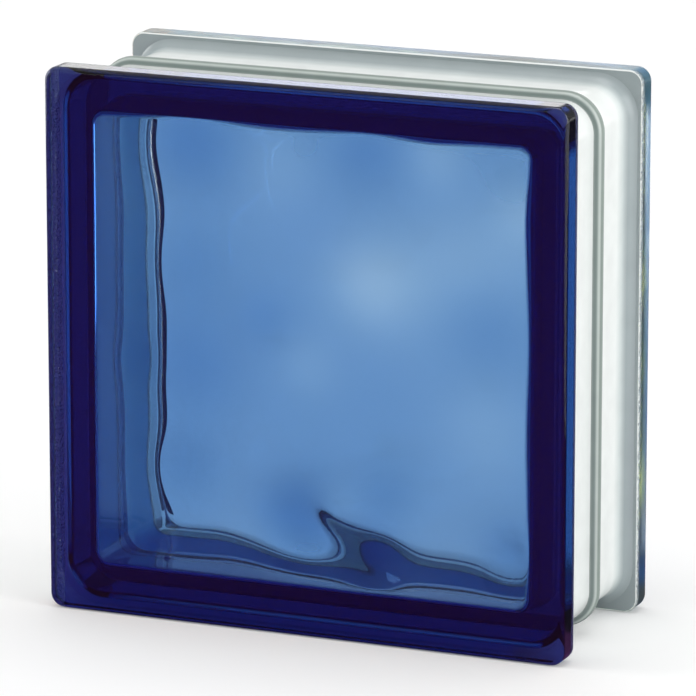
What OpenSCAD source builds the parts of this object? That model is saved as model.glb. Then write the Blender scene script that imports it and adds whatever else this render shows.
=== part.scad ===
// Hollow glass block for a wall or a window opening, standing on one side.
// Two pressed glass trays, fused rim to rim at half the depth. Each tray has a face plate with a lip round
// it, a side wall that stands back from the lip to leave a groove for mortar, and a rippled inner face.

/* [Block] */
// Width and height of the square face
face_side = 190; // [140:1:300]
// Depth of the whole block, from face to face
block_depth = 80; // [60:1:120]

/* [Lip] */
// Depth of the lip that frames each face
lip_depth = 9.6; // [6:0.2:14]
// Corner radius of the lip, seen from the front
lip_corner_radius = 5; // [3:0.5:10]
// Rounding of the lip where it meets the face
face_edge_radius = 1.6; // [0.5:0.1:3]
// Rounding of the lip where it meets the groove
crest_edge_radius = 0.8; // [0.3:0.1:1.5]

/* [Groove] */
// How far the side wall stands back from the lip
groove_recess = 5; // [3:0.5:8]
// Radius of the hollow sweep from the lip down to the side wall
flank_radius = 6.5; // [5:0.5:10]
// Corner radius of the side wall
wall_corner_radius = 11; // [9:0.5:20]

/* [Seam] */
// Radius of the bead where the two rims are fused
bead_radius = 3; // [1.5:0.1:5]
// How far the bead stands out from the side wall
bead_height = 2.6; // [1:0.1:4]
// How far the fused rim swells into the hollow
inner_bead_height = 0.4; // [0.2:0.1:2]
// How far from the seam that swelling starts
inner_bead_reach = 4; // [2:0.5:8]

/* [Hollow] */
// Thickness of a face plate, at the mean level of its ripples
plate_thickness = 8.8; // [7:0.1:14]
// Thickness of the side wall close to the face plate
root_wall = 10; // [7:0.5:14]
// Thickness of the side wall close to the seam
rim_wall = 7.5; // [5:0.5:12]
// Rounding between the side wall and the face plate, inside
root_fillet = 2.5; // [2:0.5:4]
// Corner radius of the hollow at the face plate
root_corner_radius = 5; // [4.5:0.5:10]
// Corner radius of the hollow at the seam
rim_corner_radius = 7; // [5:0.5:12]

/* [Ripples] */
// Height of the tallest swell on the inner face, above its mean level
ripple_height = 3.6; // [1:0.1:4.5]

/* [Hidden] */
$fn = 64;

tray_depth = block_depth / 2;
half_side = face_side / 2;
wall_out = half_side - groove_recess;
lip_turn = half_side - lip_corner_radius;
wall_turn = wall_out - wall_corner_radius;
flank_axis = wall_out + flank_radius;

// The sweep of the flank crosses the back of the lip here, and its foot is on the side wall.
flank_foot = lip_depth + flank_radius - crest_edge_radius;
flank_top = flank_axis - sqrt(flank_radius * flank_radius - (flank_foot - lip_depth) * (flank_foot - lip_depth));
flank_root = lip_depth / 2;
bead_axis = wall_out + bead_height - bead_radius;

root_half = wall_out - root_wall;
rim_half = wall_out - rim_wall;
overrun = crest_edge_radius;

// The swells and dips that make the ripples: place across, place up and reach as shares of the half width of
// the inner face, and height as a share of the tallest one.
swell_shares = [
    [0.564, 0.889, 0.175, 1], [-0.091, -0.667, 0.119, 0.92], [-0.751, 0.376, 0.236, -0.89],
    [-0.12, -0.639, 0.091, -0.83], [-0.297, -0.863, 0.1, 0.81], [-0.491, -1.323, 0.376, -0.78],
    [-0.792, 0.249, 0.168, 0.78], [-0.284, 0.358, 0.152, -0.75], [0.091, -0.695, 0.121, 0.64],
    [0.552, -0.066, 0.174, 0.53], [-0.934, -0.755, 0.096, 0.5], [0.753, 0.846, 0.331, -0.47],
    [-0.986, 0.71, 0.106, -0.47], [-0.585, 0.921, 0.096, -0.42], [0.562, 0.389, 0.156, 0.42],
    [-0.816, -0.231, 0.166, -0.39], [-0.263, 0.91, 0.11, 0.39], [0.583, -0.519, 0.129, 0.39],
    [-0.365, -0.557, 0.096, 0.33], [-0.006, -0.021, 0.102, -0.31], [0.199, 0.16, 0.092, 0.28],
    [0.124, 0.806, 0.124, -0.28], [0.27, -0.84, 0.126, -0.25], [0.836, -0.066, 0.076, 0.17]
];
swell_count = [for (swell = swell_shares) 1];

// Steps round and across the hollow.
corner_steps = 6;
side_steps = 18;
wall_steps = 4;
fillet_steps = 5;
bead_steps = 4;
floor_steps = 18;
quarter_steps = corner_steps + side_steps;
ring_steps = 4 * quarter_steps;

// How much of its height one swell still has at a point of the inner face, where x and y are shares too.
function swell_left(swell, x, y) = exp(
    -((x - swell[0]) * (x - swell[0]) + (y - swell[1]) * (y - swell[1])) / (2 * swell[2] * swell[2]));

// Height of the inner face above its mean level.
function ripple(x, y) = ripple_height * swell_count
    * [for (swell = swell_shares) swell[3] * swell_left(swell, x / root_half, y / root_half)];

// Point number i of a quarter of a rounded square: first along the side, then round the corner.
function quarter_point(half, radius, i) = i < side_steps
    ? [half, (half - radius) * (2 * i / side_steps - 1)]
    : [half - radius + radius * cos(90 * (i - side_steps) / corner_steps),
       half - radius + radius * sin(90 * (i - side_steps) / corner_steps)];

function turned(p, a) = [p[0] * cos(a) - p[1] * sin(a), p[0] * sin(a) + p[1] * cos(a)];

function ring_point(half, radius, i) = turned(
    quarter_point(half, radius, i % quarter_steps), 90 * floor(i / quarter_steps));

function mix(a, b, share) = a + (b - a) * share;

// Half width of the hollow at a height, on the straight draft of its wall.
function draft_half(z) = mix(root_half, rim_half, (z - plate_thickness) / (tray_depth - plate_thickness));
function draft_radius(z) = mix(
    root_corner_radius, rim_corner_radius, (z - plate_thickness) / (tray_depth - plate_thickness));

// Rings of the hollow, from the seam to the middle of the inner face: half width, corner radius, height and
// how much of the ripple it takes.
function bead_ring(share) = let(z = tray_depth - inner_bead_reach * share)
    [draft_half(z) - inner_bead_height * (1 + cos(180 * share)) / 2, draft_radius(z), z, 0];
function wall_ring(share) = let(z = mix(tray_depth - inner_bead_reach, plate_thickness + root_fillet, share))
    [draft_half(z), draft_radius(z), z, 0];
function fillet_ring(a) = let(z = plate_thickness + root_fillet)
    [draft_half(z) - root_fillet * (1 - cos(a)), draft_radius(z) - root_fillet * (1 - cos(a)),
     z - root_fillet * sin(a), sin(a) * sin(a)];
function floor_ring(share) = let(edge = fillet_ring(90)) [edge[0] * share, edge[1] * share, edge[2], 1];

first_ring = bead_ring(0);
rings = [
    [first_ring[0], first_ring[1], tray_depth + overrun, 0],
    for (i = [0:bead_steps]) bead_ring(i / bead_steps),
    for (i = [1:wall_steps]) wall_ring(i / wall_steps),
    for (i = [1:fillet_steps]) fillet_ring(90 * i / fillet_steps),
    for (i = [1:floor_steps - 1]) floor_ring(1 - i / floor_steps)
];
ring_count = len(rings);

function hollow_point(ring, i) = let(p = ring_point(ring[0], ring[1], i))
    [p[0], p[1], ring[2] + ring[3] * ripple(p[0], p[1])];

function ring_index(k, i) = k * ring_steps + i % ring_steps;

// The hollow of one tray, reaching past the seam.
module hollow() {
    points = concat(
        [for (ring = rings) for (i = [0:ring_steps - 1]) hollow_point(ring, i)],
        [[0, 0, plate_thickness + ripple(0, 0)]]);
    middle = ring_count * ring_steps;
    mouth = [[for (i = [0:ring_steps - 1]) ring_index(0, ring_steps - 1 - i)]];
    sides = [for (k = [0:ring_count - 2]) for (i = [0:ring_steps - 1]) each [
        [ring_index(k, i), ring_index(k, i + 1), ring_index(k + 1, i + 1)],
        [ring_index(k, i), ring_index(k + 1, i + 1), ring_index(k + 1, i)]]];
    floor_fan = [for (i = [0:ring_steps - 1])
        [ring_index(ring_count - 1, i), ring_index(ring_count - 1, i + 1), middle]];
    polyhedron(points = points, faces = concat(mouth, sides, floor_fan));
}

// Section of the lip, outward from where its corners turn.
module lip_section() {
    rounding = half_side - face_edge_radius;
    crest = half_side - crest_edge_radius;
    translate([lip_turn, face_edge_radius])
        square([half_side - lip_turn, lip_depth - face_edge_radius - crest_edge_radius]);
    translate([lip_turn, 0])
        square([rounding - lip_turn, face_edge_radius]);
    translate([lip_turn, lip_depth - crest_edge_radius])
        square([crest - lip_turn, crest_edge_radius]);
    intersection() {
        translate([rounding, face_edge_radius])
            circle(r = face_edge_radius);
        translate([rounding, 0])
            square(face_edge_radius);
    }
    intersection() {
        translate([crest, lip_depth - crest_edge_radius])
            circle(r = crest_edge_radius);
        translate([crest, lip_depth - crest_edge_radius])
            square(crest_edge_radius);
    }
}

// Section of the side wall: the sweep down from the lip, the wall and its half of the seam bead.
module wall_section() {
    difference() {
        translate([wall_turn, flank_root])
            square([flank_top - wall_turn, flank_foot - flank_root]);
        translate([flank_axis, flank_foot])
            circle(r = flank_radius);
    }
    translate([wall_turn, flank_foot])
        square([wall_out - wall_turn, tray_depth - flank_foot]);
    intersection() {
        translate([bead_axis, tray_depth])
            circle(r = bead_radius);
        translate([wall_turn, flank_foot])
            square([wall_corner_radius + bead_radius, tray_depth - flank_foot]);
    }
}

// A section carried round the four sides and the four corners of a square, with its middle filled.
module round_square(turn, bottom, top) {
    for (a = [0:90:270])
        rotate([0, 0, a]) {
            rotate([90, 0, 0])
                linear_extrude(height = 2 * turn, center = true)
                    children();
            translate([turn, turn, 0])
                rotate_extrude(angle = 90)
                    translate([-turn, 0])
                        children();
        }
    translate([-turn, -turn, bottom])
        cube([2 * turn, 2 * turn, top - bottom]);
}

// One pressed tray, lying on its face with the rim up.
module tray() {
    difference() {
        union() {
            round_square(lip_turn, 0, lip_depth)
                lip_section();
            round_square(wall_turn, flank_root, tray_depth)
                wall_section();
        }
        hollow();
    }
}

module back_half() {
    color("LightCyan")
        translate([0, tray_depth, half_side])
            rotate([90, 0, 0])
                tray();
}

module front_half() {
    color("MediumBlue")
        rotate([0, 0, 180])
            translate([0, tray_depth, half_side])
                rotate([90, 0, 0])
                    tray();
}

front_half();
back_half();
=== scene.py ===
"""The look of a hollow glass block: two pressed halves, the coat on their sides and a plain studio."""

import logging
import math
from dataclasses import dataclass, field
from enum import Enum

import bmesh
import bpy
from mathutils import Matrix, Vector


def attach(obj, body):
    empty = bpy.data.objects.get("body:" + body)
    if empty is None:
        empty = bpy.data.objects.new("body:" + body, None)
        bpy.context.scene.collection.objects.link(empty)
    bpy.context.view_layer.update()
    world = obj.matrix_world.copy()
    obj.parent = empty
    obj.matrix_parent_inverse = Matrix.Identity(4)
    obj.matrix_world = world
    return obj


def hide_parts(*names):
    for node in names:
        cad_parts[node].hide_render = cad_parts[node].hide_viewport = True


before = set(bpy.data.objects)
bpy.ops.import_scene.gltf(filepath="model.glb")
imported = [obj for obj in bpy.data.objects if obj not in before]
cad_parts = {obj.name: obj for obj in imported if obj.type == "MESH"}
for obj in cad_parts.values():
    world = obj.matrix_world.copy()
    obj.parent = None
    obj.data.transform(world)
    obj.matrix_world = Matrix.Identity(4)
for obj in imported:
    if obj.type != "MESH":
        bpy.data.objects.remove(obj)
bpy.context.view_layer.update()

logging.basicConfig(level=logging.INFO, format="%(message)s")
log = logging.getLogger("glass_block")

MM = 0.001
WHITE = (1.0, 1.0, 1.0, 1.0)
BLOCK_MIDDLE = (0.0, 0.0, 0.095)


def linear(hex_colour: str) -> tuple[float, float, float, float]:
    """Turns an sRGB hex colour into Blender's linear colour.

    Args:
        hex_colour: the colour as "#rrggbb".

    Returns:
        Linear red, green, blue and an alpha of 1.
    """
    parts = [int(hex_colour[i : i + 2], 16) / 255 for i in (1, 3, 5)]
    red, green, blue = (p / 12.92 if p <= 0.04045 else ((p + 0.055) / 1.055) ** 2.4 for p in parts)
    return red, green, blue, 1.0


def add_node(
    material: bpy.types.ID, kind: str, links: dict[str | int, object] | None = None, **settings: object
) -> bpy.types.Node:
    """Adds one shader node with its settings and its links.

    Args:
        material: the material or world whose node tree gets the node.
        kind: the node's type name.
        links: for each input's name or number, an output socket to link or a plain value to set.
        settings: attributes of the node itself. Pairs of place and colour under "stops" fill a colour ramp.

    Returns:
        The new node.
    """
    tree = material.node_tree
    node = tree.nodes.new(kind)
    stops = settings.pop("stops", None)
    for name, value in settings.items():
        setattr(node, name, value)
    if stops:
        ramp = node.color_ramp.elements
        while len(ramp) < len(stops):
            ramp.new(1.0)
        for element, (place, colour) in zip(ramp, stops):
            element.position, element.color = place, colour
    for name, value in (links or {}).items():
        socket = node.inputs[name]
        if isinstance(value, bpy.types.NodeSocket):
            tree.links.new(value, socket)
        else:
            socket.default_value = value
    return node


def add_math(
    material: bpy.types.ID, operation: str, *values: bpy.types.NodeSocket | float
) -> bpy.types.NodeSocket:
    """Adds one sum to a material.

    Args:
        material: the material or world whose node tree gets the sum.
        operation: the sum's type name.
        values: its inputs in order.

    Returns:
        The sum's output.
    """
    return add_node(material, "ShaderNodeMath", dict(enumerate(values)), operation=operation).outputs[0]


def seam_tint(
    material: bpy.types.Material, stops: tuple[tuple[float, str], ...]
) -> bpy.types.NodeSocket:
    """Adds a colour that changes with the distance from the seam, which lies at Y = 0.

    Args:
        material: the material that gets the nodes.
        stops: distances in millimetres, each with the colour there. The last one is the span of the ramp.

    Returns:
        The colour.
    """
    span = stops[-1][0]
    place = add_node(material, "ShaderNodeTexCoord").outputs["Object"]
    along = add_node(material, "ShaderNodeSeparateXYZ", {0: place}).outputs["Y"]
    share = add_math(material, "DIVIDE", add_math(material, "ABSOLUTE", along), span * MM)
    ramp = add_node(material, "ShaderNodeValToRGB", {0: share},
                    stops=[(at / span, linear(colour)) for at, colour in stops])
    return ramp.outputs[0]


def blank_material(name: str) -> bpy.types.Material:
    """Makes an empty node material.

    Args:
        name: the material's name.

    Returns:
        The material.
    """
    material = bpy.data.materials.new(name)
    material.use_nodes = True
    material.node_tree.nodes.clear()
    return material


class Facing(Enum):
    """Which way a half's face looks: out of the block towards -Y or +Y."""

    FRONT = -1
    BACK = 1


class Zone(Enum):
    """Which finish a strip of a half carries, as its material slot's number."""

    GLASS = 0
    COAT = 1
    UNDERCOAT = 2


@dataclass(frozen=True)
class Ring:
    """One rounded-square ring of a half, in millimetres."""

    half: float
    radius: float
    depth: float
    ripple: float = 0.0
    zone: Zone = Zone.GLASS


@dataclass(frozen=True)
class Swell:
    """One soft swelling of the inner face, in millimetres, seen from inside the half."""

    x: float
    y: float
    reach: float
    height: float

    def at(self, x: float, y: float) -> float:
        """Gives the swelling's height at a point of the face.

        Args:
            x: the point's place across, in millimetres.
            y: its place up.

        Returns:
            The height in millimetres.
        """
        away = ((x - self.x) ** 2 + (y - self.y) ** 2) / self.reach**2
        return self.height * math.exp(-away / 2)


@dataclass(frozen=True)
class Ripples:
    """The irregular ripples pressed into the inner face, which thicken and thin the plate.

    The swells come from a fit to the corner lines and the pane's shade in the photograph, and are rounded.
    The part's source holds the same ones, as shares of its sizes.
    """

    swells: tuple[Swell, ...] = (
        Swell(45.1, 71.1, 14.0, 3.6),
        Swell(-7.3, -53.4, 9.5, 3.3),
        Swell(-60.1, 30.1, 18.9, -3.2),
        Swell(-9.6, -51.1, 7.3, -3.0),
        Swell(-23.8, -69.0, 8.0, 2.9),
        Swell(-39.3, -105.8, 30.1, -2.8),
        Swell(-63.4, 19.9, 13.4, 2.8),
        Swell(-22.7, 28.6, 12.2, -2.7),
        Swell(7.3, -55.6, 9.7, 2.3),
        Swell(44.2, -5.3, 13.9, 1.9),
        Swell(-74.7, -60.4, 7.7, 1.8),
        Swell(60.2, 67.7, 26.5, -1.7),
        Swell(-78.9, 56.8, 8.5, -1.7),
        Swell(-46.8, 73.7, 7.7, -1.5),
        Swell(45.0, 31.1, 12.5, 1.5),
        Swell(-65.3, -18.5, 13.3, -1.4),
        Swell(-21.0, 72.8, 8.8, 1.4),
        Swell(46.6, -41.5, 10.3, 1.4),
        Swell(-29.2, -44.6, 7.7, 1.2),
        Swell(-0.5, -1.7, 8.2, -1.1),
        Swell(15.9, 12.8, 7.4, 1.0),
        Swell(9.9, 64.5, 9.9, -1.0),
        Swell(21.6, -67.2, 10.1, -0.9),
        Swell(66.9, -5.3, 6.1, 0.6),
    )

    def at(self, x: float, y: float) -> float:
        """Gives the height above the mean level at a point of the face.

        Args:
            x: the point's place across, in millimetres.
            y: its place up.

        Returns:
            The height in millimetres.
        """
        return sum(swell.at(x, y) for swell in self.swells)


@dataclass(frozen=True)
class Pressing:
    """The section of one pressed half and of its coat, in millimetres.

    Depths count from the outer face. The support is how close an extra ring lies to a rounded edge. The grip
    is how far the coat's underside lies inside the glass, and is below zero where it stands off. The reach is
    how many rings of the lip's crest the coat covers. The steps are the numbers of rings in each stretch. The
    seam gap is what each half's rim stands back from the seam, so that no two faces coincide there.
    """

    half_side: float = 95.0
    depth: float = 40.0
    lip_depth: float = 9.6
    lip_corner: float = 5.0
    face_edge: float = 1.6
    crest_edge: float = 0.8
    wall_out: float = 90.0
    flank: float = 6.5
    wall_corner: float = 11.0
    bead: float = 3.0
    bead_height: float = 2.6
    inner_bead: float = 0.4
    inner_reach: float = 4.0
    plate: float = 8.8
    root_half: float = 80.0
    rim_half: float = 82.5
    root_fillet: float = 2.5
    root_corner: float = 5.0
    rim_corner: float = 7.0
    seam_gap: float = 0.03
    support: float = 0.25
    coat: float = 0.1
    coat_grip: float = 0.06
    coat_reach: int = 2
    edge_steps: int = 8
    crest_steps: int = 5
    flank_steps: int = 10
    bead_steps: int = 10
    inner_steps: int = 8
    draft_steps: int = 6
    fillet_steps: int = 10
    plate_steps: int = 60

    def lip_rings(self) -> list[Ring]:
        """Lists the rings of the face's border and the lip.

        Returns:
            The rings, from the flat of the face to the lip's back.
        """
        turn = self.half_side - self.lip_corner
        edge = self.half_side - self.face_edge
        rings = [Ring(edge - self.support, edge - self.support - turn, 0.0), Ring(edge, edge - turn, 0.0)]
        for i in range(1, self.edge_steps + 1):
            a = math.radians(90 * i / self.edge_steps)
            half = edge + self.face_edge * math.sin(a)
            rings.append(Ring(half, half - turn, self.face_edge * (1 - math.cos(a))))
        crest = self.lip_depth - self.crest_edge
        for depth in (self.face_edge + self.support, crest - self.support, crest):
            rings.append(Ring(self.half_side, self.lip_corner, depth))
        for i in range(1, self.crest_steps + 1):
            a = math.radians(90 * i / self.crest_steps)
            half = self.half_side - self.crest_edge * (1 - math.cos(a))
            rings.append(Ring(half, half - turn, crest + self.crest_edge * math.sin(a)))
        return rings

    def groove_rings(self) -> list[Ring]:
        """Lists the rings of the groove.

        Returns:
            The rings of the sweep down from the lip's back, of the wall and of the seam bead.
        """
        turn = self.wall_out - self.wall_corner
        axis = self.wall_out + self.flank
        foot = self.lip_depth + self.flank - self.crest_edge
        start = math.asin((foot - self.lip_depth) / self.flank)
        rings = []
        for i in range(self.flank_steps + 1):
            a = start * (1 - i / self.flank_steps)
            half = axis - self.flank * math.cos(a)
            rings.append(Ring(half, half - turn, foot - self.flank * math.sin(a)))
        bead_axis = self.wall_out + self.bead_height - self.bead
        low = math.acos((self.wall_out - bead_axis) / self.bead)
        bead_foot = self.depth - self.bead * math.sin(low)
        for depth in (foot + self.support, 0.5 * (foot + bead_foot), bead_foot - self.support, bead_foot):
            rings.append(Ring(self.wall_out, self.wall_corner, depth))
        for i in range(1, self.bead_steps + 1):
            a = low * (1 - i / self.bead_steps)
            half = bead_axis + self.bead * math.cos(a)
            depth = min(self.depth - self.bead * math.sin(a), self.depth - self.seam_gap)
            rings.append(Ring(half, half - turn, depth))
        return rings

    def draft(self, depth: float) -> tuple[float, float]:
        """Gives the hollow's half width and corner radius on the straight draft of its wall.

        Args:
            depth: distance from the outer face.

        Returns:
            The half width and the corner radius there.
        """
        share = (depth - self.plate) / (self.depth - self.plate)
        half = self.root_half + (self.rim_half - self.root_half) * share
        return half, self.root_corner + (self.rim_corner - self.root_corner) * share

    def hollow_rings(self) -> list[Ring]:
        """Lists the rings of the hollow.

        Returns:
            The rings, from the fused rim over the inner bead to the middle of the inner face.
        """
        rings = []
        for i in range(self.inner_steps + 1):
            share = i / self.inner_steps
            depth = self.depth - self.inner_reach * share
            half, radius = self.draft(depth)
            swell = self.inner_bead * (1 + math.cos(math.pi * share)) / 2
            rings.append(Ring(half - swell, radius, min(depth, self.depth - self.seam_gap)))
        top, bottom = self.depth - self.inner_reach, self.plate + self.root_fillet
        for i in range(1, self.draft_steps + 1):
            depth = top + (bottom - top) * i / self.draft_steps
            rings.append(Ring(*self.draft(depth), depth))
        half, radius = self.draft(bottom)
        for i in range(1, self.fillet_steps + 1):
            a = math.radians(90 * i / self.fillet_steps)
            inset = self.root_fillet * (1 - math.cos(a))
            depth = bottom - self.root_fillet * math.sin(a)
            rings.append(Ring(half - inset, radius - inset, depth, math.sin(a) ** 2))
        edge = rings[-1]
        for i in range(1, self.plate_steps):
            share = 1 - i / self.plate_steps
            rings.append(Ring(edge.half * share, edge.radius * share, edge.depth, 1.0))
        return rings

    def body_rings(self) -> list[Ring]:
        """Lists every ring of the glass.

        Returns:
            The rings in order, from the flat of the face round the lip to the inner face.
        """
        return self.lip_rings() + self.groove_rings() + self.hollow_rings()

    def coat_rings(self) -> list[Ring]:
        """Lists the rings of the coat, which reaches from the lip's crest to the seam.

        Returns:
            The rings along its outer side and back underneath. The last lies on the first, to close the film.
        """
        path = [*self.lip_rings()[-self.coat_reach :], *self.groove_rings()]
        sides = []
        for lift, zone in ((self.coat - self.coat_grip, Zone.COAT), (-self.coat_grip, Zone.UNDERCOAT)):
            side = []
            for before, ring, after in zip(path[:1] + path, path, path[1:] + path[-1:]):
                across, along = after.half - before.half, after.depth - before.depth
                length = math.hypot(across, along)
                out, on = lift * along / length, -lift * across / length
                depth = min(ring.depth + on, self.depth - self.seam_gap)
                side.append(Ring(ring.half + out, ring.radius + out, depth, zone=zone))
            sides.append(side)
        outer, under = sides
        return outer + under[::-1] + outer[:1]


@dataclass(frozen=True)
class PressedGlass:
    """Pressed soda-lime glass, coloured in the mass.

    It gives sharp mirror images and a colour that is deeper where the glass is thicker. The lip is hazy from
    the mould, and its flanks keep the mould's line, a narrow gritty strip that sparkles. Sizes are in
    millimetres, depths count from the seam, and the grit's height is a share of its size.
    """

    name: str
    colour: str
    strength: float
    lip_haze: float = 0.14
    middle: float = 95.0
    lip_foot: float = 92.0
    face_edge: float = 38.2
    mould_line: float = 32.4
    mould_width: float = 0.8
    line_haze: float = 0.2
    grit: float = 1.1
    grit_share: float = 1.2
    grit_detail: float = 2.0
    ior: float = 1.52

    def material(self) -> bpy.types.Material:
        """Makes the glass, with its colour as an absorption inside it.

        Returns:
            The material.
        """
        material = blank_material(self.name)
        place = add_node(material, "ShaderNodeTexCoord").outputs["Object"]
        parts = add_node(material, "ShaderNodeSeparateXYZ", {0: place}).outputs
        depth = add_math(material, "ABSOLUTE", parts["Y"])
        side = add_math(material, "ABSOLUTE", parts["X"])
        rise = add_math(material, "ABSOLUTE", add_math(material, "SUBTRACT", parts["Z"], self.middle * MM))
        reach = add_math(material, "MAXIMUM", side, rise)
        start, end = (self.mould_line - self.mould_width) * MM, (self.mould_line + self.mould_width) * MM
        near = add_node(material, "ShaderNodeMapRange", {
            "Value": depth, "From Min": end, "From Max": start}, interpolation_type="SMOOTHSTEP").outputs[0]
        outer = add_math(material, "GREATER_THAN", reach, self.lip_foot * MM)
        flanks = add_math(material, "GREATER_THAN", side, self.lip_foot * MM)
        line = add_math(material, "MULTIPLY", near, flanks)
        grit = add_node(material, "ShaderNodeTexNoise", {
            "Vector": place, "Scale": 1 / (self.grit * MM), "Detail": self.grit_detail}).outputs[0]
        edge = add_math(material, "LESS_THAN", depth, self.face_edge * MM)
        lip = add_math(material, "MULTIPLY", edge, outer)
        haze = add_math(material, "MULTIPLY", lip, self.lip_haze)
        rough = add_math(material, "MULTIPLY_ADD", line, self.line_haze, haze)
        height = add_math(material, "MULTIPLY", grit, line)
        normal = add_node(material, "ShaderNodeBump", {
            "Height": height, "Distance": self.grit_share * self.grit * MM, "Strength": 1.0}).outputs[0]
        surface = add_node(material, "ShaderNodeBsdfPrincipled", {
            "Base Color": WHITE, "Transmission Weight": 1.0, "IOR": self.ior,
            "Roughness": rough, "Normal": normal,
        })
        volume = add_node(material, "ShaderNodeVolumeAbsorption", {
            "Color": linear(self.colour), "Density": self.strength})
        add_node(material, "ShaderNodeOutputMaterial", {
            "Surface": surface.outputs[0], "Volume": volume.outputs[0]})
        return material


@dataclass(frozen=True)
class MortarCoat:
    """A sprayed white key coat on the sides, which mortar grips.

    It gives a bright semi-gloss white, a little uneven. Over the sweep it turns grey towards the lip, and
    over the seam bead it is grey with a lighter band: these greys are painted shade and the band is a painted
    highlight. Sizes are in millimetres.
    """

    name: str = "mortar_key_coat"
    wall: str = "#f5f9f7"
    # The bead's greys are painted shade, darkest at its feet, and its lighter band is a painted highlight.
    bead: str = "#a2ada7"
    bead_side_painted_shade: str = "#8f9b95"
    bead_painted_highlight: str = "#bcc6c1"
    bead_foot: str = "#7f8d89"
    # The sweep's greys, from its foot up to the lip, are painted shade.
    flank_foot_painted_shade: str = "#d8e0df"
    flank: str = "#a3aeb0"
    cloud: float = 9.0
    cloud_detail: float = 3.0
    cloud_range: tuple[float, float] = (0.3, 0.7)
    thinnest: float = 0.94
    grain: float = 1.6
    grain_detail: float = 2.0
    grain_height: float = 0.03
    grain_strength: float = 0.5
    roughness: float = 0.2
    ior: float = 1.5

    def material(self) -> bpy.types.Material:
        """Makes the coat's outer side, which lets daylight through to its underside.

        Returns:
            The material.
        """
        material = blank_material(self.name)
        place = add_node(material, "ShaderNodeTexCoord").outputs["Object"]
        # Over the bead and the sweep this ramp carries painted shade and a painted highlight; only the wall's
        # white is the coat's own.
        tint = seam_tint(material, (
            (0.0, self.bead), (0.9, self.bead_side_painted_shade), (1.3, self.bead_side_painted_shade), (1.8, self.bead_painted_highlight),
            (2.1, self.bead_painted_highlight), (2.6, self.bead_foot), (2.95, self.bead_foot), (3.4, self.wall),
            (20.0, self.wall), (24.7, self.flank_foot_painted_shade), (28.0, self.flank), (30.4, self.flank)))
        cloud = add_node(material, "ShaderNodeTexNoise", {
            "Vector": place, "Scale": 1 / (self.cloud * MM), "Detail": self.cloud_detail}).outputs[0]
        low, high = self.cloud_range
        thin = add_node(material, "ShaderNodeMapRange", {
            "Value": cloud, "From Min": low, "From Max": high,
            "To Min": self.thinnest, "To Max": 1.0}).outputs[0]
        paint = add_node(material, "ShaderNodeVectorMath", {0: tint, "Scale": thin}, operation="SCALE")
        grain = add_node(material, "ShaderNodeTexNoise", {
            "Vector": place, "Scale": 1 / (self.grain * MM), "Detail": self.grain_detail}).outputs[0]
        normal = add_node(material, "ShaderNodeBump", {
            "Height": grain, "Distance": self.grain_height * MM,
            "Strength": self.grain_strength}).outputs[0]
        surface = add_node(material, "ShaderNodeBsdfPrincipled", {
            "Base Color": paint.outputs[0], "Roughness": self.roughness, "IOR": self.ior, "Normal": normal,
        })
        through = add_node(material, "ShaderNodeBsdfTranslucent", {"Color": WHITE})
        behind = add_node(material, "ShaderNodeNewGeometry").outputs["Backfacing"]
        both = add_node(material, "ShaderNodeMixShader", {
            0: behind, 1: surface.outputs[0], 2: through.outputs[0]})
        add_node(material, "ShaderNodeOutputMaterial", {"Surface": both.outputs[0]})
        return material


@dataclass(frozen=True)
class Undercoat:
    """The underside of the key coat, which gives a soft even glow when it is seen through the glass."""

    name: str
    # Both tints are painted light and shade: they stand in for the colour and shade the glass shows there,
    # not the coat's own white.
    wall: str
    flank: str

    def material(self) -> bpy.types.Material:
        """Makes the underside.

        Returns:
            The material.
        """
        material = blank_material(self.name)
        tint = seam_tint(
            material, ((0.0, self.wall), (26.0, self.wall), (29.0, self.flank), (30.4, self.flank)))
        through = add_node(material, "ShaderNodeBsdfTranslucent", {"Color": tint})
        add_node(material, "ShaderNodeOutputMaterial", {"Surface": through.outputs[0]})
        return material


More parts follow.
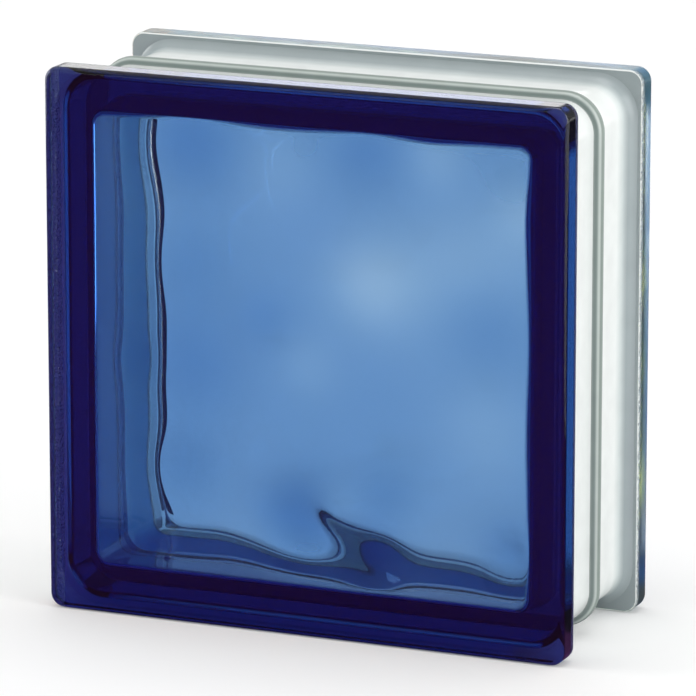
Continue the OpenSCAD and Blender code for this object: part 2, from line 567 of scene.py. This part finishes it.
@dataclass
class GlassHalf:
    """One pressed half of the block: a closed skin of glass and the closed film of coat on its sides.

    The merge distance is in millimetres and the smooth angle in degrees.
    """

    name: str
    node: str
    slot: str
    facing: Facing
    glass: PressedGlass
    coat: MortarCoat
    undercoat: Undercoat
    pressing: Pressing = field(default_factory=Pressing)
    ripples: Ripples = field(default_factory=Ripples)
    side_steps: int = 64
    corner_steps: int = 12
    merge_distance: float = 0.001
    smooth_angle: float = 28.0

    def place(self, ring: Ring, step: int) -> Vector:
        """Gives the place of one point of a ring.

        Args:
            ring: the ring.
            step: the point's number round the ring.

        Returns:
            The place in metres, in the block's frame.
        """
        quarter = self.side_steps + self.corner_steps
        turn, i = divmod(step, quarter)
        flat = ring.half - ring.radius
        if i < self.side_steps:
            x, y = ring.half, flat * (2 * i / self.side_steps - 1)
        else:
            a = math.radians(90 * (i - self.side_steps) / self.corner_steps)
            x, y = flat + ring.radius * math.cos(a), flat + ring.radius * math.sin(a)
        for _ in range(turn):
            x, y = -y, x
        depth = ring.depth
        if ring.ripple:
            depth += ring.ripple * self.ripples.at(x, y)
        out = self.facing.value
        return Vector((out * x, out * (self.pressing.depth - depth), self.pressing.half_side + y)) * MM

    def skin(self, name: str, rings: list[Ring], filled: bool) -> bpy.types.Object:
        """Extrudes a skin ring by ring and closes it.

        Args:
            name: the object's name.
            rings: the rings in order.
            filled: whether the first ring is filled and the last one drawn to a point. Otherwise the last
                lies on the first and is merged with it.

        Returns:
            The object.
        """
        count = 4 * (self.side_steps + self.corner_steps)
        bpy.ops.object.select_all(action="DESELECT")
        bpy.ops.mesh.primitive_circle_add(
            vertices=count, radius=rings[0].half * MM, fill_type="NGON" if filled else "NOTHING")
        skin = bpy.context.object
        skin.name = skin.data.name = name
        for finish in (self.glass, self.coat, self.undercoat):
            known = bpy.data.materials.get(finish.name)
            skin.data.materials.append(known or finish.material())
        bpy.ops.object.mode_set(mode="EDIT")
        mesh = bmesh.from_edit_mesh(skin.data)
        step = mesh.verts.layers.int.new("step")
        mesh.verts.ensure_lookup_table()
        for vert in mesh.verts:
            vert[step] = vert.index
            vert.co = self.place(rings[0], vert.index)
        bmesh.update_edit_mesh(skin.data)
        for ring in rings[1:]:
            bpy.ops.mesh.extrude_edges_indiv()
            mesh = bmesh.from_edit_mesh(skin.data)
            step = mesh.verts.layers.int["step"]
            mesh.verts.ensure_lookup_table()
            mesh.faces.ensure_lookup_table()
            for vert in mesh.verts[-count:]:
                vert.co = self.place(ring, vert[step])
            for face in mesh.faces[-count:]:
                face.material_index = ring.zone.value
        bmesh.update_edit_mesh(skin.data)
        if filled:
            bpy.ops.mesh.merge(type="CENTER")
        bpy.ops.mesh.select_all(action="SELECT")
        if not filled:
            bpy.ops.mesh.remove_doubles(threshold=self.merge_distance * MM)
        bpy.ops.mesh.normals_make_consistent(inside=False)
        bpy.ops.object.mode_set(mode="OBJECT")
        bpy.ops.object.shade_smooth_by_angle(angle=math.radians(self.smooth_angle))
        return skin

    def build(self) -> bpy.types.Object:
        """Builds the glass and its coat as one object.

        Returns:
            The finished object.
        """
        film = self.skin(self.name + "_coat", self.pressing.coat_rings(), filled=False)
        half = self.skin(self.name, self.pressing.body_rings(), filled=True)
        film.select_set(True)
        bpy.ops.object.join()
        return half

    def dress(self, half: bpy.types.Object) -> None:
        """Gives the half its place in the model.

        Args:
            half: the object that build made.
        """
        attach(half, "root")
        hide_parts(self.node)


@dataclass(frozen=True)
class Softbox:
    """A soft box that hangs facing the block. The radiance is how bright its face is, where 1 is white."""

    name: str
    place: tuple[float, float, float]
    size: tuple[float, float]
    radiance: float

    def hang(self) -> None:
        """Hangs the soft box, which isn't seen through the glass."""
        aim = Vector(BLOCK_MIDDLE) - Vector(self.place)
        bpy.ops.object.light_add(
            type="AREA", location=self.place, rotation=aim.to_track_quat("-Z", "Y").to_euler())
        lamp = bpy.context.object
        lamp.name = self.name
        lamp.data.shape = "RECTANGLE"
        lamp.data.size, lamp.data.size_y = self.size
        lamp.data.energy = self.radiance * math.pi * self.size[0] * self.size[1]
        lamp.visible_camera = lamp.visible_transmission = False


@dataclass(frozen=True)
class PaintedSheet:
    """A coloured cloth on the floor, which keeps the white of the floor out of the glass.

    Seen only through the glass, it glows in its own plain colour: dark for painted shade, coloured for a
    painted glow. Seen only in mirror images, it gives a painted reflection. It is painted light, not a thing
    in the room.
    """

    name: str
    middle: tuple[float, float]
    size: tuple[float, float]
    colour: str
    turn: float = 0.0
    through: bool = False
    height: float = -0.0001

    def lay(self) -> None:
        """Lays the cloth, just over the floor."""
        bpy.ops.object.select_all(action="DESELECT")
        bpy.ops.mesh.primitive_plane_add(size=1.0, location=(*self.middle, self.height))
        sheet = bpy.context.object
        sheet.name = self.name
        sheet.scale = (*self.size, 1.0)
        sheet.rotation_euler.z = math.radians(self.turn)
        bpy.ops.object.transform_apply(location=True, rotation=True, scale=True)
        material = blank_material(self.name)
        kind = "ShaderNodeEmission" if self.through else "ShaderNodeBsdfDiffuse"
        surface = add_node(material, kind, {"Color": linear(self.colour)})
        add_node(material, "ShaderNodeOutputMaterial", {"Surface": surface.outputs[0]})
        sheet.data.materials.append(material)
        sheet.visible_camera = sheet.visible_diffuse = sheet.visible_shadow = False
        sheet.visible_glossy, sheet.visible_transmission = not self.through, self.through


@dataclass(frozen=True)
class Strip:
    """An upright strip light or pale card, which is seen only through the glass.

    The glowing strip is there only to draw a painted highlight in the glass. The turn is how far it is turned
    from facing along Y, and a strength of 1 shows its colour as it is.
    """

    name: str
    place: tuple[float, float, float]
    size: tuple[float, float]
    turn: float
    colour: str
    strength: float

    def stand(self) -> None:
        """Stands the strip in its place."""
        bpy.ops.object.select_all(action="DESELECT")
        bpy.ops.mesh.primitive_plane_add(
            size=1.0, location=self.place, rotation=(math.radians(90), 0, math.radians(self.turn)))
        strip = bpy.context.object
        strip.name = self.name
        strip.scale = (*self.size, 1.0)
        bpy.ops.object.transform_apply(location=True, rotation=True, scale=True)
        material = blank_material(self.name)
        glow = add_node(material, "ShaderNodeEmission", {
            "Color": linear(self.colour), "Strength": self.strength})
        add_node(material, "ShaderNodeOutputMaterial", {"Surface": glow.outputs[0]})
        strip.data.materials.append(material)
        strip.visible_camera = strip.visible_diffuse = strip.visible_glossy = strip.visible_shadow = False


@dataclass(frozen=True)
class Floor:
    """A matt floor, which gives a near-white ground that keeps the block's soft shadow.

    Sizes are in metres. The lift is what it adds for the camera and for views in the glass.
    """

    colour: str = "#f0f0f0"
    lift: float = 0.12
    radius: float = 9.0
    sides: int = 96
    height: float = -0.0002

    def lay(self) -> None:
        """Lays the floor under the block."""
        bpy.ops.object.select_all(action="DESELECT")
        bpy.ops.mesh.primitive_circle_add(
            vertices=self.sides, radius=self.radius, fill_type="NGON", location=(0, 0, self.height))
        floor = bpy.context.object
        floor.name = "floor"
        material = blank_material("pale_floor")
        paths = add_node(material, "ShaderNodeLightPath").outputs
        seen = add_math(material, "MAXIMUM", paths["Is Camera Ray"], paths["Is Glossy Ray"])
        shown = add_math(material, "MAXIMUM", seen, paths["Is Transmission Ray"])
        lift = add_math(material, "MULTIPLY", shown, self.lift)
        surface = add_node(material, "ShaderNodeBsdfDiffuse", {"Color": linear(self.colour)})
        glow = add_node(material, "ShaderNodeEmission", {"Color": WHITE, "Strength": lift})
        both = add_node(material, "ShaderNodeAddShader", {0: surface.outputs[0], 1: glow.outputs[0]})
        add_node(material, "ShaderNodeOutputMaterial", {"Surface": both.outputs[0]})
        floor.data.materials.append(material)


@dataclass(frozen=True)
class Room:
    """The soft light of the room: brighter from the sides and above than from the front and the back.

    The levels are for light from along Y and from across it. The limits are the shares of Y between which one
    turns into the other.
    """

    end_level: float = 0.25
    side_level: float = 0.85
    end_limit: float = 0.95
    side_limit: float = 0.35

    def light(self) -> None:
        """Makes the world. The camera sees it as white."""
        world = bpy.data.worlds.new("soft_room")
        bpy.context.scene.world = world
        world.use_nodes = True
        world.node_tree.nodes.clear()
        towards = add_node(world, "ShaderNodeTexCoord").outputs["Generated"]
        along = add_node(world, "ShaderNodeSeparateXYZ", {0: towards}).outputs["Y"]
        level = add_node(world, "ShaderNodeMapRange", {
            "Value": add_math(world, "ABSOLUTE", along),
            "From Min": self.end_limit, "From Max": self.side_limit,
            "To Min": self.end_level, "To Max": self.side_level,
        }, interpolation_type="SMOOTHSTEP").outputs[0]
        seen = add_node(world, "ShaderNodeLightPath").outputs["Is Camera Ray"]
        strength = add_math(world, "MAXIMUM", seen, level)
        background = add_node(world, "ShaderNodeBackground", {"Color": WHITE, "Strength": strength})
        add_node(world, "ShaderNodeOutputWorld", {"Surface": background.outputs[0]})


@dataclass(frozen=True)
class Studio:
    """A plain pale floor, soft light and the camera. Places and sizes are in metres, angles in degrees."""

    softboxes: tuple[Softbox, ...] = (
        Softbox("left_softbox", (-1.3, -0.3, 0.3), (0.5, 0.9), 4.0),
        Softbox("right_softbox", (1.3, -0.2, 0.5), (0.9, 1.2), 2.4),
        Softbox("back_softbox", (-0.57, 1.34, 0.56), (0.9, 0.3), 1.8),
        Softbox("top_softbox", (0.0, 0.1, 1.6), (0.9, 0.9), 2.0),
    )
    painted_sheets: tuple[PaintedSheet, ...] = (
        # A painted reflection: a plum sheet seen only in the glass's mirror images.
        PaintedSheet("plum_painted_reflection", (-0.25, -0.525), (1.3, 1.05), "#815090"),
        # A painted reflection: a dark sheet seen only in mirror images.
        PaintedSheet("dark_painted_reflection", (-0.05, 0.71), (1.7, 1.42), "#3a3548"),
        # Painted shade: a dark sheet seen only through the glass.
        PaintedSheet("left_painted_shade", (-0.9, 0.36), (1.5, 0.6), "#2c2c3c", turn=140.0, through=True),
        # A painted glow: a blue sheet seen only through the glass, standing in for the blue light the cobalt
        # half casts under the block.
        PaintedSheet("blue_painted_glow", (-0.1125, -0.01), (0.375, 0.08), "#3f92d0", through=True),
    )
    strips: tuple[Strip, ...] = (
        # The first strip's orange glow draws a painted highlight along the inner edge of the blue frame.
        Strip("left_painted_highlight_strip", (-0.3, -0.13, 0.1), (0.16, 0.12), 90.0, "#ffab7c", 45.0),
        Strip("back_card", (-0.45, 1.15, 0.2), (1.6, 0.44), 0.0, "#ffffff", 1.0),
    )
    azimuth: float = 23.0
    elevation: float = 13.5
    distance: float = 2.0
    lens: float = 302.5
    sensor: float = 36.0
    aim: tuple[float, float, float] = (0.0, 0.0, 0.0919)
    glass_bounces: int = 32
    mirror_bounces: int = 16
    matt_bounces: int = 6

    def build(self) -> None:
        """Lays the floor, lights the room and sets the camera."""
        Floor().lay()
        Room().light()
        for softbox in self.softboxes:
            softbox.hang()
        for sheet in self.painted_sheets:
            sheet.lay()
        for strip in self.strips:
            strip.stand()
        self.camera()
        self.settings()

    def camera(self) -> None:
        """Sets the camera at the photograph's viewing angle."""
        a, e = math.radians(self.azimuth), math.radians(self.elevation)
        back = Vector((math.sin(a) * math.cos(e), -math.cos(a) * math.cos(e), math.sin(e)))
        place = Vector(BLOCK_MIDDLE) + back * self.distance
        bpy.ops.object.camera_add(
            location=place, rotation=(Vector(self.aim) - place).to_track_quat("-Z", "Y").to_euler())
        camera = bpy.context.object
        camera.data.sensor_width = self.sensor
        camera.data.lens = self.lens
        bpy.context.scene.camera = camera

    def settings(self) -> None:
        """Sets the plain view and enough bounces for light to pass both halves."""
        scene = bpy.context.scene
        scene.view_settings.view_transform = "Standard"
        scene.cycles.max_bounces = self.glass_bounces
        scene.cycles.transmission_bounces = self.glass_bounces
        scene.cycles.glossy_bounces = self.mirror_bounces
        scene.cycles.diffuse_bounces = self.matt_bounces


def main() -> None:
    """Builds the halves and the studio, and reports each piece."""
    coat = MortarCoat()
    halves = (
        GlassHalf(
            "front_half_glass", "front_half", "blue_glass", Facing.FRONT,
            PressedGlass("cobalt_pressed_glass", "#45b1e2", 230.0, grit=0.7), coat,
            # Painted light: this underside's teal and violet set the shade of the blue walls and frame seen
            # through the glass.
            Undercoat("key_coat_underside_painted_light_on_cobalt", "#5f9cb4", "#78609a"),
            Pressing(coat_grip=-0.02, coat_reach=4)),
        GlassHalf(
            "back_half_glass", "back_half", "clear_glass", Facing.BACK,
            PressedGlass("clear_pressed_glass", "#b4d8c4", 20.0, lip_haze=0.3), coat,
            # Painted light: this underside's blue stands in for the blue light that reaches the clear half
            # through the cobalt one.
            Undercoat("key_coat_underside_painted_blue_light_on_clear", "#70c2f8", "#6f7d78")),
    )
    for half in halves:
        piece = half.build()
        half.dress(piece)
        log.info("%s: %d faces", piece.name, len(piece.data.polygons))
    Studio().build()


if __name__ == "__main__":
    main()
